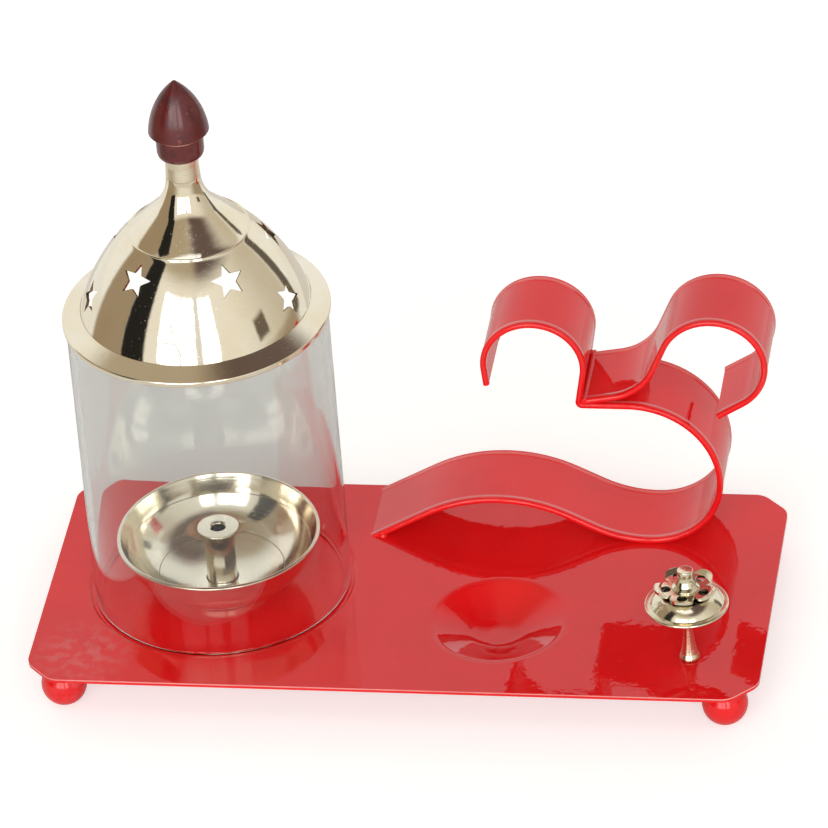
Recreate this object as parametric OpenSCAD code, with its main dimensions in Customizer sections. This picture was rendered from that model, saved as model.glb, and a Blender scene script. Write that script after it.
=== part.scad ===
// Akhand diya stand. A red enamelled tray on ball feet carries a covered brass
// oil lamp, a bent-strip Om figure, a pressed dish and an incense-stick holder.
// Millimetres, +Z up, origin on the floor under the middle of the tray.

/* [Tray] */
// Length of the tray along X
tray_length = 240; // [240:1:260]
// Width of the tray along Y
tray_width = 114; // [114:1:130]
// Thickness of the tray's sheet
tray_sheet = 1.4; // [1.2:0.1:1.6]
// Length that each corner is clipped by
corner_clip = 9; // [7:0.5:12]
// Radius where a clip meets a side
corner_round = 6; // [2:0.5:8]

/* [Feet] */
// Radius of a ball foot
foot_radius = 7.5; // [7:0.25:9]
// Distance of a foot's middle from the tray's ends
foot_end_inset = 11.4; // [9:0.2:14]
// Distance of a foot's middle from the tray's long sides
foot_side_inset = 10; // [9:0.2:12]

/* [Lamp seat] */
// Middle of the lamp along X
lamp_x = -63; // [-65:0.5:-61]
// Middle of the lamp along Y
lamp_y = 1.5; // [-2:0.5:3]
// Depth of the pressed seat
seat_depth = 0.9; // [0.6:0.1:1.2]
// Height of the boss that centres the diya, above the seat
boss_height = 0.7; // [0.5:0.05:0.8]

/* [Dish] */
// Middle of the pressed dish along X
dish_x = 31.5; // [28:0.5:36]
// Middle of the pressed dish along Y
dish_y = -17.5; // [-20:0.5:-14]
// Slope of the dish's side
dish_slope = 22; // [20:1:24]
// Length of the dish's straight side
dish_side = 12; // [10:0.5:12.5]

/* [Glass chimney] */
// Outer radius of the glass
glass_radius = 42.5; // [42:0.1:43]
// Wall of the glass
glass_wall = 2.2; // [1.8:0.1:2.6]
// Height of the glass
glass_height = 108; // [100:1:120]

/* [Lid] */
// Radius at the foot of the dome
dome_radius = 37.3; // [36.8:0.1:37.6]
// Height from the foot of the dome to its bead
dome_rise = 28.2; // [26:0.2:31]
// Radius of the dome's side curve
dome_curve = 70; // [60:1:90]
// Radius of the bead line
bead_radius = 19.5; // [18:0.5:21]
// Radius of the funnel curve above the bead
funnel_curve = 16; // [14:0.5:18]
// Outer radius at the top of the funnel
neck_radius = 5.6; // [5.5:0.1:6]
// Thickness of the lid's sheet brass
lid_sheet = 1; // [0.8:0.1:1.1]
// Stars in each of the two rows
star_count = 5; // [4:1:5]
// Radius of a star's points
star_radius = 5.9; // [5:0.1:6.4]

/* [Knob] */
// Height of the brass neck under the knob
ferrule_height = 7.7; // [6:0.1:9]
// Radius of the knob's collar
collar_radius = 7.6; // [7:0.1:8]
// Height of the knob's collar
collar_height = 8.4; // [8:0.1:9]
// Largest radius of the knob's bud
bud_radius = 9.75; // [9.4:0.05:10.2]
// Radius of the bud's pointed side curve
bud_curve = 27; // [25:0.5:29]

/* [Diya] */
// Wall of the brass bowl
bowl_wall = 1.3; // [1:0.1:1.5]
// Outer radius of the bowl's foot ring
bowl_foot_radius = 16.5; // [16:0.25:18]
// Radius of the wick post's stem
post_radius = 5; // [4.6:0.1:5.2]
// Radius of the wick post's flared top
post_top_radius = 6.9; // [6.4:0.05:7.4]
// Height of the wick post
post_height = 20.25; // [19.5:0.05:20.5]
// Radius of the wick hole
wick_radius = 2.3; // [1.8:0.1:2.6]
// Depth of the wick hole
wick_depth = 12; // [8:0.5:13]

/* [Om strips] */
// Width of the bent strips along Y
strip_width = 29; // [25:0.5:29]
// Thickness of the bent strips
strip_sheet = 1.6; // [1.4:0.1:1.8]
// Back edge of the strips along Y
strip_back = 56; // [54:0.5:56]

/* [Incense holder] */
// Middle of the incense holder along X
incense_x = 96.2; // [94:0.2:97]
// Middle of the incense holder along Y
incense_y = -34.8; // [-36:0.2:-33]
// Stick holes, one in each petal
petal_count = 5; // [5:1:5]
// Radius of a stick hole
stick_radius = 1.7; // [1.3:0.1:1.8]

/* [Hidden] */
$fn = 96;

enamel_red = [0.75, 0.07, 0.08];
brass_pale = [0.83, 0.74, 0.55];
steel_plain = [0.65, 0.65, 0.67];
glass_clear = [0.85, 0.9, 0.88, 0.35];
knob_maroon = [0.42, 0.13, 0.13];

// Feet and tray levels
foot_flat = 0.2;
foot_land = 0.4;
tray_under = 2 * foot_radius - foot_flat - foot_land;
tray_top = tray_under + tray_sheet;

// Seat, boss and dish radii
seat_radius = glass_radius + 1;
seat_edge = 1;
boss_radius = bowl_foot_radius - 3.9;
boss_slope = 0.8;
dish_start = [0, 0, 0];
dish_steps = [[3, 0], [18, dish_slope], [dish_side, 0], [9, -dish_slope]];

// Lamp levels
seat_level = tray_top - seat_depth;
glass_top = seat_level + glass_height;
glass_edge = 0.5;

// Lid levels and slopes
brim_gap = 0.1;
brim_sheet = 0.8;
brim_lip = 0.7;
brim_lip_gap = 0.3;
brim_lip_drop = 1.6;
brim_inner = dome_radius - 1.6;
brim_bend = dome_radius + 0.4;
brim_outer = glass_radius + brim_lip_gap + brim_lip;
brim_fall = 2.85;
brim_slope = brim_fall / (brim_outer - brim_bend);
brim_top = glass_top + brim_gap + brim_sheet + (glass_radius - brim_bend) * brim_slope;
bead_level = brim_top + dome_rise;
dome_chord = norm([dome_radius - bead_radius, dome_rise]);
dome_chord_slope = atan2(dome_rise, dome_radius - bead_radius);
dome_half_turn = asin(dome_chord / (2 * dome_curve));
bead_slope = dome_chord_slope - dome_half_turn;
foot_slope = dome_chord_slope + dome_half_turn;
dome_mid = [bead_radius - dome_curve * sin(bead_slope), bead_level - dome_curve * cos(bead_slope)];
funnel_start = neck_radius + funnel_curve * (1 - sin(bead_slope));
neck_level = bead_level + (bead_radius - funnel_start) * tan(bead_slope)
    + funnel_curve * cos(bead_slope);
dome_rings = 10;
bead_size = 0.45;
star_inner = 0.46;
star_upper_level = bead_level - 6.8;
star_lower_level = brim_top + 8.2;
star_bearing = -124;

// Knob levels
spigot_length = 5;
screw_radius = 2;
screw_clearance = 0.1;
knob_level = neck_level + ferrule_height;
bud_level = collar_height + 0.9;
bud_lean = 5;
bud_tip_radius = 0.9;
insert_radius = 3.4;
insert_length = 12;
insert_bore = 10.5;
washer_sheet = 0.8;
knob_head_height = 2.4;

// Bowl wall as runs and bends along its middle, from the axis out to the rim
bowl_start = [0, tray_top + 0.75, 0];
bowl_steps = [[5.6, 0], [36, 25], [20.4, 45], [5, 0]];
bowl_floor = bowl_start[1] + bowl_wall / 2;
bowl_foot_wall = 2.5;
post_flare = 9;
post_disc = 0.7;

// Om strips as runs and bends along their middles, seen from the front. A step
// is [length, 0] for a straight run or [radius, turn] for a bend.
main_start = [-18.6, tray_top - 1.84, 29];
main_steps = [
    [23.3, 0], [50, -56.5], [9.8, 0], [40, 27.5],
    [24.3, 90], [29.3, 90], [14.7, 0],
    [1.2, -100], [10.7, 0], [16.4, 195], [6, 0]
];
tail_start = [58.1, tray_top + 56.35, 10];
tail_steps = [[8.3, 0], [18.7, 56], [10.3, 0], [17.1, -214], [9.4, 0]];
bend_step = 5;
loop_contact = walk_end(main_start, [for (i = [0:3]) main_steps[i]]);
fold_contact = walk_end(main_start, [for (i = [0:6]) main_steps[i]]);

// Incense holder levels above the tray
saucer_level = 26.7;
saucer_sheet = 0.8;
saucer_steps = [[1.9, 0], [9.5, -58], [0.8, 46], [1.2, 0]];
flower_sheet = 0.9;
flower_level = saucer_level + (saucer_sheet + flower_sheet) / 2;
flower_steps = [[7.8, 0], [2.6, 35], [1, 0]];
petal_radius = 3.9;
petal_middle = 6.5;
petal_bearing = -22.5;
hub_radius = 4.5;
hub_top_radius = 2.6;
hub_cone = 5.2;
hub_top = 1.7;
stud_radius = 1.4;
stud_top = 31.5;
incense_screw_radius = 1.2;
incense_screw_reach = 5;
incense_washer_radius = 3.5;
incense_washer_sheet = 0.6;
incense_head_radius = 2.5;
incense_head_height = 1.6;

// Pose [x, y, heading] at the end of one step
function advance(pose, step) =
    step[1] == 0
        ? [pose[0] + step[0] * cos(pose[2]), pose[1] + step[0] * sin(pose[2]), pose[2]]
        : bend_pose(pose, step, step[1]);

// Pose part of the way round a bend
function bend_pose(pose, step, turn) =
    let (side = sign(step[1]), heading = pose[2] + turn)
    [
        pose[0] - side * step[0] * (sin(pose[2]) - sin(heading)),
        pose[1] + side * step[0] * (cos(pose[2]) - cos(heading)),
        heading
    ];

// Pose after all the steps
function walk_end(pose, steps, i = 0) =
    i == len(steps) ? pose : walk_end(advance(pose, steps[i]), steps, i + 1);

// Poses along all the steps, with bends in short turns
function walk(pose, steps, i = 0) =
    i == len(steps)
        ? [pose]
        : concat(step_poses(pose, steps[i]), walk(advance(pose, steps[i]), steps, i + 1));

function step_poses(pose, step) =
    let (turns = step[1] == 0 ? 1 : ceil(abs(step[1]) / bend_step))
    [for (k = [0:turns - 1]) step[1] == 0 ? pose : bend_pose(pose, step, step[1] * k / turns)];

// Points to one side of each pose
function beside(poses, offset) =
    [for (p = poses) [p[0] - offset * sin(p[2]), p[1] + offset * cos(p[2])]];

function reversed(list) = [for (i = [len(list) - 1:-1:0]) list[i]];

// Outline of a sheet of even thickness bent along a path
function bent_sheet(start, steps, sheet) =
    let (poses = walk(start, steps))
    concat(beside(poses, -sheet / 2), reversed(beside(poses, sheet / 2)));

// Quarter outline of the tray, with the clip's two ends rounded
function clipped_quarter() =
    let (
        hx = tray_length / 2,
        hy = tray_width / 2,
        back = corner_round * tan(22.5)
    )
    concat(
        [for (a = [0:9:45])
            [hx - corner_round * (1 - cos(a)), hy - corner_clip - back + corner_round * sin(a)]],
        [for (a = [45:9:90])
            [hx - corner_clip - back + corner_round * cos(a), hy - corner_round * (1 - sin(a))]]
    );

function tray_outline() =
    let (q = clipped_quarter())
    concat(
        q,
        reversed([for (p = q) [-p[0], p[1]]]),
        [for (p = q) [-p[0], -p[1]]],
        reversed([for (p = q) [p[0], -p[1]]])
    );

// Section of pressed sheet from its top line, given as [radius, level] points
function pressed_section(top, sheet) =
    concat(top, reversed([for (p = top) [p[0], p[1] - sheet]]));

seat_line = [
    [0, seat_level + boss_height],
    [boss_radius, seat_level + boss_height],
    [boss_radius + boss_slope, seat_level],
    [seat_radius, seat_level],
    [seat_radius + seat_edge, tray_top]
];

dish_rim = walk_end(dish_start, dish_steps);
dish_radius = dish_rim[0];
dish_line = [for (p = walk(dish_start, dish_steps)) [p[0], tray_top - dish_rim[1] + p[1]]];

module at_lamp() {
    translate([lamp_x, lamp_y, 0]) children();
}

module at_incense() {
    translate([incense_x, incense_y, 0]) children();
}

module tray_plate() {
    color(enamel_red)
    difference() {
        union() {
            difference() {
                translate([0, 0, tray_under]) linear_extrude(tray_sheet) polygon(tray_outline());
                at_lamp() cylinder(r = seat_radius + seat_edge, h = tray_top + 1);
                translate([dish_x, dish_y, 0]) cylinder(r = dish_radius, h = tray_top + 1);
            }
            at_lamp() rotate_extrude() polygon(pressed_section(seat_line, tray_sheet));
            translate([dish_x, dish_y, 0])
                rotate_extrude() polygon(pressed_section(dish_line, tray_sheet));
        }
        at_incense() cylinder(r = incense_screw_radius + screw_clearance, h = tray_top + 1);
    }
}

// Ball foot with a worn flat below and a weld land above
module foot(side_x, side_y) {
    color(enamel_red)
    translate([
        side_x * (tray_length / 2 - foot_end_inset),
        side_y * (tray_width / 2 - foot_side_inset),
        0
    ])
    intersection() {
        translate([0, 0, foot_radius - foot_flat]) sphere(r = foot_radius);
        cylinder(r = 2 * foot_radius, h = tray_under);
    }
}

module foot_front_left() { foot(-1, -1); }
module foot_front_right() { foot(1, -1); }
module foot_rear_left() { foot(-1, 1); }
module foot_rear_right() { foot(1, 1); }

// Outline in X and Z drawn out along Y, from the strips' back edge forward
module across_tray(width) {
    translate([0, strip_back, 0]) rotate([90, 0, 0]) linear_extrude(width) children();
}

module main_strip_solid() {
    difference() {
        across_tray(strip_width) polygon(bent_sheet(main_start, main_steps, strip_sheet));
        translate([main_start[0] - 10, 0, tray_top - 10]) cube([30, tray_width, 10]);
    }
}

module tail_strip_solid() {
    across_tray(strip_width) polygon(bent_sheet(tail_start, tail_steps, strip_sheet));
}

module om_main_strip() {
    color(enamel_red) main_strip_solid();
}

module om_tail_strip() {
    color(enamel_red) tail_strip_solid();
}

// Round beads at the two corners of the wave's end, above the tray
module om_end_weld() {
    bead = 1.5;
    inset = 1;
    color(enamel_red)
    difference() {
        for (y = [strip_back - strip_width + inset, strip_back - inset])
            translate([main_start[0] + 5.3, y, tray_top - 0.1]) sphere(r = bead);
        main_strip_solid();
        translate([main_start[0], 0, tray_top - 2 * bead]) cube([6 * bead, tray_width, 2 * bead]);
    }
}

// Fillet under the lower lobe where it touches the tray
module om_loop_weld() {
    reach = 6;
    inset = 4;
    color(enamel_red)
    difference() {
        translate([loop_contact[0] - reach, strip_back - strip_width + inset, tray_top])
            cube([2 * reach, strip_width - 2 * inset, loop_contact[1] - tray_top]);
        main_strip_solid();
    }
}

// Fillet in the fold, between the main strip and the end of the tail
module om_cusp_weld() {
    bead = 1.05;
    rise = 1.25;
    root = 0.7;
    color(enamel_red)
    difference() {
        across_tray(strip_width) translate([fold_contact[0] + root, fold_contact[1]]) {
            translate([0, root + rise]) circle(r = bead);
            translate([-root, root]) square([2 * root, rise]);
        }
        main_strip_solid();
        tail_strip_solid();
    }
}

module incense_stem() {
    neck = saucer_level - saucer_sheet / 2;
    color(brass_pale)
    at_incense() translate([0, 0, tray_top])
    difference() {
        union() {
            rotate_extrude() polygon([
                [0, 0], [3.1, 0], [3.4, 0.4], [3.3, 1.1], [2.8, 2.4], [2.35, 4.2], [2, 6.4],
                [1.7, 8.8], [1.5, 11.4], [1.5, 17], [1.9, 21], [3.4, neck], [0, neck]
            ]);
            cylinder(r = stud_radius, h = stud_top);
        }
        cylinder(r = incense_screw_radius + 0.05, h = 2 * (incense_screw_reach + 0.5), center = true);
    }
}

// One child at the middle of each petal
module at_petals() {
    for (i = [0:petal_count - 1])
        rotate(petal_bearing + 360 * i / petal_count) translate([petal_middle, 0]) children();
}

module incense_saucer() {
    color(brass_pale)
    at_incense() translate([0, 0, tray_top])
    rotate_extrude() polygon(bent_sheet(
        [stud_radius + screw_clearance, saucer_level, 0], saucer_steps, saucer_sheet
    ));
}

module petals_plan() {
    circle(r = hub_radius + 0.3);
    at_petals() circle(r = petal_radius);
}

module incense_flower() {
    color(brass_pale)
    at_incense() translate([0, 0, tray_top])
    difference() {
        intersection() {
            rotate_extrude() polygon(bent_sheet([0, flower_level, 0], flower_steps, flower_sheet));
            linear_extrude(flower_level + 10) petals_plan();
        }
        cylinder(r = stud_radius + screw_clearance, h = flower_level + 10);
        at_petals() cylinder(r = stick_radius, h = flower_level + 10);
    }
}

module incense_hub() {
    under = flower_level + flower_sheet / 2;
    color(brass_pale)
    at_incense() translate([0, 0, tray_top + under])
    difference() {
        rotate_extrude() polygon([
            [0, 0], [hub_radius, 0], [hub_radius, 0.5], [hub_radius - 1.1, 1.5],
            [hub_top_radius + 0.1, 3.2], [hub_top_radius - 0.2, hub_cone - 0.6],
            [hub_top_radius, hub_cone - 0.2], [hub_top_radius, hub_cone + hub_top - 0.3],
            [hub_top_radius - 0.3, hub_cone + hub_top], [0, hub_cone + hub_top]
        ]);
        cylinder(r = stud_radius + 0.05, h = 2 * (stud_top - under + 0.5), center = true);
    }
}

module incense_screw() {
    head_top = tray_under - incense_washer_sheet;
    color(steel_plain)
    at_incense() {
        translate([0, 0, head_top - incense_head_height])
            cylinder(r = incense_head_radius, h = incense_head_height);
        translate([0, 0, head_top - 0.5])
            cylinder(r = incense_screw_radius, h = tray_top + incense_screw_reach - head_top + 0.5);
    }
}

module incense_washer() {
    color(steel_plain)
    at_incense() translate([0, 0, tray_under - incense_washer_sheet])
    difference() {
        cylinder(r = incense_washer_radius, h = incense_washer_sheet);
        cylinder(r = incense_screw_radius + screw_clearance, h = 3 * incense_washer_sheet, center = true);
    }
}

module diya_bowl() {
    color(brass_pale)
    at_lamp() {
        rotate_extrude() polygon(bent_sheet(bowl_start, bowl_steps, bowl_wall));
        rotate_extrude() translate([bowl_foot_radius - bowl_foot_wall, seat_level])
            square([bowl_foot_wall, bowl_start[1] + 1.4 - seat_level]);
    }
}

module wick_post() {
    color(brass_pale)
    at_lamp() translate([0, 0, bowl_floor])
    difference() {
        rotate_extrude() polygon([
            [0, 0], [post_radius, 0], [post_radius, post_height - post_disc - post_flare],
            [post_radius + 0.25, post_height - post_disc - post_flare * 0.6],
            [post_radius + 0.8, post_height - post_disc - post_flare * 0.3],
            [post_top_radius, post_height - post_disc],
            [post_top_radius, post_height], [0, post_height]
        ]);
        translate([0, 0, post_height - wick_depth]) cylinder(r = wick_radius, h = wick_depth + 1);
    }
}

module glass_chimney() {
    inner = glass_radius - glass_wall;
    color(glass_clear)
    at_lamp() rotate_extrude() polygon([
        [inner + glass_edge, seat_level], [glass_radius - glass_edge, seat_level],
        [glass_radius, seat_level + glass_edge], [glass_radius, glass_top - glass_edge],
        [glass_radius - glass_edge, glass_top], [inner + glass_edge, glass_top],
        [inner, glass_top - glass_edge], [inner, seat_level + glass_edge]
    ]);
}

module lid_brim() {
    rim_level = brim_top - brim_fall;
    lip_inner = brim_outer - brim_lip;
    color(brass_pale)
    at_lamp() rotate_extrude() polygon([
        [brim_inner, brim_top - brim_sheet], [brim_inner, brim_top], [brim_bend, brim_top],
        [brim_outer - 0.3, rim_level], [brim_outer, rim_level - 0.4],
        [brim_outer, rim_level - brim_lip_drop], [lip_inner, rim_level - brim_lip_drop],
        [lip_inner, brim_top - brim_sheet - (lip_inner - brim_bend) * brim_slope],
        [brim_bend, brim_top - brim_sheet]
    ]);
}

// Skin of the dome and funnel, moved in by an inset
function lid_line(inset) = concat(
    [for (i = [0:dome_rings])
        let (s = foot_slope + (bead_slope - foot_slope) * i / dome_rings)
        dome_mid + (dome_curve - inset) * [sin(s), cos(s)]],
    [for (i = [0:dome_rings])
        let (s = bead_slope + (90 - bead_slope) * i / dome_rings)
        [neck_radius + funnel_curve, neck_level] - (funnel_curve + inset) * [sin(s), cos(s)]]
);

// Five-pointed star, one point along +X
module star_plan() {
    polygon([for (i = [0:9])
        star_radius * (i % 2 == 0 ? 1 : star_inner) * [cos(36 * i), sin(36 * i)]]);
}

// Star punched through the dome at a level, with its point up or down
module star_cut(level, bearing, point_turn) {
    slope = acos((level - dome_mid[1]) / dome_curve);
    radius = dome_mid[0] + dome_curve * sin(slope);
    rotate(bearing) translate([radius, 0, level]) rotate([0, slope, 0])
        linear_extrude(8 * lid_sheet, center = true) rotate(point_turn) star_plan();
}

module lid_dome() {
    color(brass_pale)
    at_lamp()
    difference() {
        union() {
            intersection() {
                rotate_extrude() polygon(concat(lid_line(0), reversed(lid_line(lid_sheet))));
                translate([0, 0, brim_top]) cylinder(r = 2 * dome_radius, h = neck_level - brim_top);
            }
            rotate_extrude() translate([bead_radius, bead_level]) circle(r = bead_size);
        }
        for (i = [0:star_count - 1]) {
            star_cut(star_upper_level, star_bearing + 360 * i / star_count, 180);
            star_cut(star_lower_level, star_bearing + 360 * (i + 0.5) / star_count, 0);
        }
    }
}

module lid_neck() {
    radius = neck_radius - 0.2;
    spigot = neck_radius - lid_sheet - screw_clearance;
    color(brass_pale)
    at_lamp() translate([0, 0, neck_level])
    difference() {
        rotate_extrude() polygon([
            [0, -spigot_length], [spigot, -spigot_length], [spigot, 0], [radius - 0.4, 0],
            [radius, 0.8], [radius, ferrule_height], [0, ferrule_height]
        ]);
        translate([0, 0, -2 * spigot_length])
            cylinder(r = screw_radius + screw_clearance, h = 4 * spigot_length + ferrule_height);
    }
}

module lid_knob() {
    bud_mid = [bud_radius - bud_curve * cos(bud_lean), bud_level - bud_curve * sin(bud_lean)];
    bud_end = acos((bud_tip_radius - bud_mid[0]) / bud_curve);
    color(knob_maroon)
    at_lamp() translate([0, 0, knob_level])
    difference() {
        rotate_extrude() polygon(concat(
            [
                [0, 0], [collar_radius - 1.2, 0], [collar_radius - 0.4, 0.5], [collar_radius, 1.6],
                [collar_radius, collar_height - 1], [collar_radius - 0.3, collar_height],
                [bud_radius - 0.9, collar_height], [bud_radius - 0.2, bud_level - 0.5]
            ],
            [for (i = [0:12])
                let (s = bud_lean + (bud_end - bud_lean) * i / 12)
                bud_mid + bud_curve * [cos(s), sin(s)]],
            [[0, bud_mid[1] + bud_curve * sin(bud_end) + 0.5]]
        ));
        translate([0, 0, -1]) cylinder(r = insert_radius, h = insert_length + 1);
    }
}

module knob_insert() {
    color(brass_pale)
    at_lamp() translate([0, 0, knob_level])
    difference() {
        cylinder(r = insert_radius, h = insert_length);
        translate([0, 0, -1]) cylinder(r = screw_radius + 0.05, h = insert_bore + 1);
    }
}

module knob_screw() {
    head_top = neck_level - spigot_length - washer_sheet;
    color(steel_plain)
    at_lamp() {
        translate([0, 0, head_top - knob_head_height])
            cylinder(r = 1.8 * screw_radius, h = knob_head_height);
        translate([0, 0, head_top - 0.5])
            cylinder(r = screw_radius, h = knob_level + insert_bore - 1 - head_top + 0.5);
    }
}

module knob_washer() {
    color(steel_plain)
    at_lamp() translate([0, 0, neck_level - spigot_length - washer_sheet])
    difference() {
        cylinder(r = 2.15 * screw_radius, h = washer_sheet);
        cylinder(r = screw_radius + screw_clearance, h = 3 * washer_sheet, center = true);
    }
}

tray_plate();
foot_front_left();
foot_front_right();
foot_rear_left();
foot_rear_right();
om_main_strip();
om_tail_strip();
om_end_weld();
om_loop_weld();
om_cusp_weld();
incense_stem();
incense_saucer();
incense_flower();
incense_hub();
incense_screw();
incense_washer();
diya_bowl();
wick_post();
glass_chimney();
lid_brim();
lid_dome();
lid_neck();
lid_knob();
knob_insert();
knob_screw();
knob_washer();
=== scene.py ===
import math

import bpy
from mathutils import Matrix, Vector


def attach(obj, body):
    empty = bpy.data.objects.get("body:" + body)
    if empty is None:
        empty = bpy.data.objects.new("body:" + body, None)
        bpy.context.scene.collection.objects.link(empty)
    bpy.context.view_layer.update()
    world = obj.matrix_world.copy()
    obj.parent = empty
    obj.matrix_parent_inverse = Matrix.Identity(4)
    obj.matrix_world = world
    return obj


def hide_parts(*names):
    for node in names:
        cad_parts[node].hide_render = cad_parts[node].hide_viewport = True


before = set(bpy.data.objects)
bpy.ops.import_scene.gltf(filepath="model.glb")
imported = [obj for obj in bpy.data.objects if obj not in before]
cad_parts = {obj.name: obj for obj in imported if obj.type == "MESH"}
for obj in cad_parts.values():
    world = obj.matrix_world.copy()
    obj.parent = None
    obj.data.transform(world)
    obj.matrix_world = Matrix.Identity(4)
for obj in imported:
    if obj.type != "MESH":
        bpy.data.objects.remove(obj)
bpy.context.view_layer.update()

MM = 0.001

# Sizes in millimetres and bearings in degrees, the same as in the part's source
TRAY_TOP = 15.8
TRAY_UNDER = 14.4
TRAY_LENGTH = 240.0
TRAY_WIDTH = 114.0
TRAY_SHEET = 1.4
CORNER_CLIP = 9.0
CORNER_ROUND = 6.0
FOOT_RADIUS = 7.5
FOOT_END_INSET = 11.4
FOOT_SIDE_INSET = 10.0
LAMP = (-63.0, 1.5)
DISH = (31.5, -17.5)
DISH_STEPS = [(3, 0), (18, 22), (12, 0), (9, -22)]
INCENSE = (96.2, -34.8)
SEAT = TRAY_TOP - 0.9
GLASS_RADIUS = 42.5
GLASS_WALL = 2.2
GLASS_TOP = SEAT + 108.0
DOME_RADIUS = 37.3
DOME_RISE = 28.2
DOME_CURVE = 70.0
BEAD_RADIUS = 19.5
FUNNEL_CURVE = 16.0
NECK_RADIUS = 5.6
LID_SHEET = 1.0
STAR_RADIUS = 5.9
STAR_BEARING = -124
FERRULE_HEIGHT = 7.7
COLLAR_HEIGHT = 8.4
BUD_RADIUS = 9.75
BUD_CURVE = 27
BOWL_WALL = 1.3
POST_HEIGHT = 20.25
WICK_RADIUS = 2.3
WICK_DEPTH = 12
STRIP_BACK = 56.0
STRIP_WIDTH = 29.0
STRIP_SHEET = 1.6
PETAL_BEARING = -22.5
STICK_RADIUS = 1.7

# More sizes in millimetres, and the gap at which points are joined
FOOT_FLAT = 0.2
SEAT_RIM = 45.2
BRIM_DROP = 2.85
BOWL_BASE = TRAY_TOP + 0.75
PETAL_MIDDLE = 6.5
PETAL_RADIUS = 3.9
JOIN_GAP = 0.002


# Selection and editing
def clear_selection():
    if bpy.context.object and bpy.context.object.mode != "OBJECT":
        bpy.ops.object.mode_set(mode="OBJECT")
    bpy.ops.object.select_all(action="DESELECT")


def pick(piece):
    """Makes a piece the active one, and the only one selected."""
    clear_selection()
    bpy.context.view_layer.objects.active = piece
    piece.select_set(True)


def start_editing():
    bpy.ops.object.mode_set(mode="EDIT")


def done_editing():
    bpy.ops.object.mode_set(mode="OBJECT")


def choose_all():
    bpy.ops.mesh.select_all(action="SELECT")


def face_outward():
    choose_all()
    bpy.ops.mesh.normals_make_consistent(inside=False)
    done_editing()


def join_points():
    choose_all()
    bpy.ops.mesh.remove_doubles(threshold=JOIN_GAP * MM)


def settle():
    """Puts the active piece's own placement into its mesh."""
    bpy.ops.object.transform_apply(location=True, rotation=True, scale=True)
    return bpy.context.object


def copy_of(pattern):
    pick(pattern)
    bpy.ops.object.duplicate()
    return bpy.context.object


def metres(*place):
    return tuple(part * MM for part in place)


def choose_points(piece, wanted):
    """Selects the points that a test picks, of the piece that is being edited."""
    bpy.ops.mesh.select_mode(type="VERT")
    bpy.ops.mesh.select_all(action="DESELECT")
    done_editing()
    for vertex in piece.data.vertices:
        vertex.select = wanted(vertex)
    start_editing()


def first_point(name, place):
    """A new piece that holds one point, left in edit mode with the point selected."""
    clear_selection()
    bpy.ops.mesh.primitive_plane_add(size=MM, location=(0, 0, 0))
    piece = bpy.context.object
    piece.name = name
    piece.data.name = name
    start_editing()
    bpy.ops.mesh.select_mode(type="VERT")
    choose_all()
    bpy.ops.mesh.merge(type="CENTER")
    bpy.ops.transform.translate(value=Vector(place) * MM)
    return piece


def draw_line(points):
    """Draws on from the selected point through the other places, in millimetres."""
    for before, after in zip(points, points[1:]):
        step = (Vector(after) - Vector(before)) * MM
        bpy.ops.mesh.extrude_vertices_move(TRANSFORM_OT_translate={"value": step})


def add_modifier(piece, kind, **settings):
    """Adds one modifier and applies it at once."""
    pick(piece)
    modifier = piece.modifiers.new(kind.title(), kind)
    for key, value in settings.items():
        setattr(modifier, key, value)
    bpy.ops.object.modifier_apply(modifier=modifier.name)


def cut_away(piece, cutter, operation="DIFFERENCE"):
    """Cuts one piece with another, whose finish the cut takes, and removes the cutter."""
    add_modifier(
        piece, "BOOLEAN", operation=operation, object=cutter, solver="EXACT",
        material_mode="TRANSFER"
    )
    bpy.data.objects.remove(cutter)


def finish_shape(piece, angle):
    """Smooth shading that keeps edges over an angle sharp, and broad faces flat."""
    pick(piece)
    bpy.ops.object.shade_smooth_by_angle(angle=math.radians(angle))
    add_modifier(piece, "WEIGHTED_NORMAL", keep_sharp=True)


# Profiles
def rounded(corners, closed=False):
    """Points of a line of (across, up, corner radius), with each corner made an arc."""
    points = []
    count = len(corners)
    for i, corner in enumerate(corners):
        here = Vector(corner[:2])
        radius = corner[2] if len(corner) > 2 else 0.0
        at_end = not closed and i in (0, count - 1)
        if radius == 0 or at_end:
            points.append(tuple(here))
            continue
        before = Vector(corners[i - 1][:2])
        after = Vector(corners[(i + 1) % count][:2])
        back = (before - here).normalized()
        on = (after - here).normalized()
        inside = math.acos(max(-1.0, min(1.0, back.dot(on))))
        turn = math.pi - inside
        reach = radius * math.tan(turn / 2)
        limit = 0.49 * min((before - here).length, (after - here).length)
        if reach > limit:
            radius *= limit / reach
            reach = limit
        middle = here + (back + on).normalized() * (radius / math.sin(inside / 2))
        start = here + back * reach - middle
        side = 1.0 if back.x * on.y - back.y * on.x < 0 else -1.0
        pieces = max(3, math.ceil(math.degrees(turn) / 12))
        for k in range(pieces + 1):
            angle = side * turn * k / pieces
            cos, sin = math.cos(angle), math.sin(angle)
            points.append((
                middle.x + start.x * cos - start.y * sin,
                middle.y + start.x * sin + start.y * cos,
            ))
    if closed:
        points.append(points[0])
    return points


def arc(middle, radius, start, end, pieces):
    """Points round a middle, from one angle to another in degrees from across to up."""
    points = []
    for k in range(pieces + 1):
        angle = math.radians(start + (end - start) * k / pieces)
        points.append((middle[0] + radius * math.cos(angle), middle[1] + radius * math.sin(angle)))
    return points


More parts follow.
